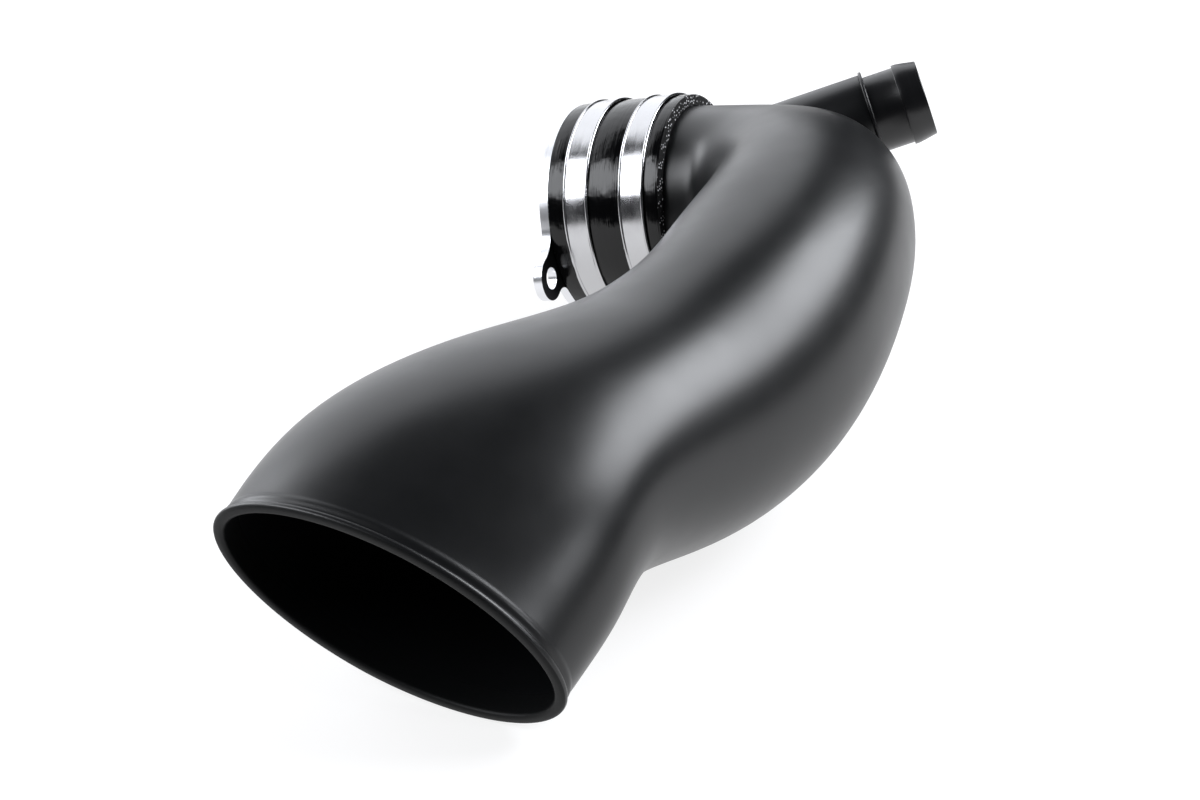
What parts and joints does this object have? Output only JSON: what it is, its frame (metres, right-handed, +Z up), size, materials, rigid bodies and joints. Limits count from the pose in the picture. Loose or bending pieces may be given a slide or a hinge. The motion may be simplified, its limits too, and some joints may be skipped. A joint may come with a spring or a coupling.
{
  "type": "cold air intake pipe",
  "caption": "Moulded intake pipe bending from a wide oval mouth to a clamped silicone coupler with an eared flange, with a hose spigot behind the bend.",
  "frame": {"origin": "centre of the bounding box, at the surface that the part lies on", "axes": "+Z up, +Y from the oval mouth toward the coupler's side, +X along the coupler from the flange into the duct"},
  "size_m": [0.1926, 0.4248, 0.128],
  "materials": {
    "moulded_plastic": "satin",
    "silicone": "gloss",
    "seal_rubber": "matte",
    "anodised_aluminium": "satin",
    "band_steel": "polished",
    "screw_steel": "satin"
  },
  "bodies": {
    "root": {"pipe_body": "moulded_plastic", "breather_stub": "moulded_plastic", "breather_spigot": "anodised_aluminium", "spigot_o_ring": "seal_rubber", "silicone_coupler": "silicone", "turbo_flange": "anodised_aluminium", "flange_o_ring": "seal_rubber", "front_clamp_band": "band_steel", "front_clamp_housing": "band_steel", "front_clamp_saddle": "band_steel", "front_clamp_screw": "screw_steel", "rear_clamp_band": "band_steel", "rear_clamp_housing": "band_steel", "rear_clamp_saddle": "band_steel", "rear_clamp_screw": "screw_steel"}
  },
  "joints": []
}
